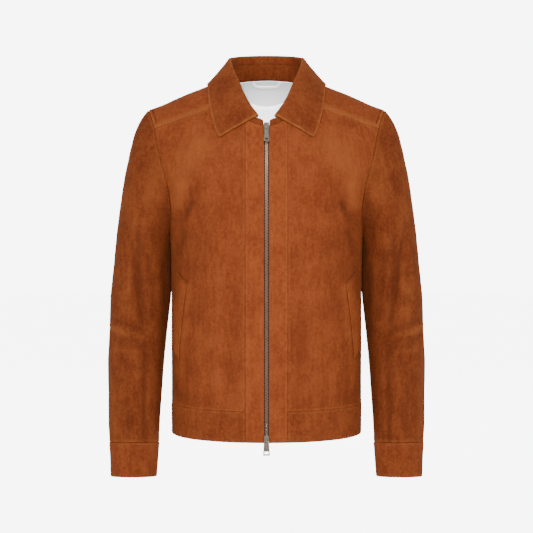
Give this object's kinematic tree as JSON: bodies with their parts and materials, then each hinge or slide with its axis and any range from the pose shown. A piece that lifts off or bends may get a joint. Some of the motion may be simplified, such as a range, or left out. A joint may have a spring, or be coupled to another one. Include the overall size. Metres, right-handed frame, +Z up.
{
  "type": "suede jacket",
  "caption": "Filled-out suede zip jacket with a pointed collar, forward shoulder seams, slanted welt pockets, hem band and cuffs; the zip's pull tabs swing.",
  "frame": {"origin": "base of the neck, on the mid-line between the two shoulders, where the wearer carries the jacket", "axes": "+Z up, +X to the wearer's left, and the front with its zip faces -Y"},
  "size_m": [0.584, 0.257, 0.7803],
  "materials": {
    "suede": "brushed nap",
    "suede_light": "brushed nap",
    "metal": "antique nickel",
    "tape": "woven",
    "lining": "satin",
    "facing": "satin"
  },
  "bodies": {
    "jacket": {"front_left": "suede", "front_right": "suede", "back": "suede", "hem_band": "suede", "sleeve_left": "suede", "sleeve_right": "suede", "cuff_left": "suede", "cuff_right": "suede", "collar_leaf": "suede", "collar_stand": "suede", "front_strip_left": "suede_light", "front_strip_right": "suede_light", "pocket_welt_left": "suede_light", "pocket_welt_right": "suede_light", "zip_chain": "metal", "zip_slider_top": "metal", "zip_slider_bottom": "metal", "zip_tape_left": "tape", "zip_tape_right": "tape", "back_lining": "lining", "hanger_loop": "lining", "back_neck_facing": "facing"},
    "pull_top": {"zip_pull_top": "metal"},
    "pull_bottom": {"zip_pull_bottom": "metal"}
  },
  "joints": [
    {"name": "pull_top_swing", "type": "hinge", "parent": "jacket", "child": "pull_top", "pos_m": [0, -0.11538, -0.10085], "axis": [-1, 0, 0], "range_deg": [0, 160]},
    {"name": "pull_bottom_swing", "type": "hinge", "parent": "jacket", "child": "pull_bottom", "pos_m": [0, -0.12786, -0.65531], "axis": [-1, 0, 0], "range_deg": [0, 160]}
  ]
}
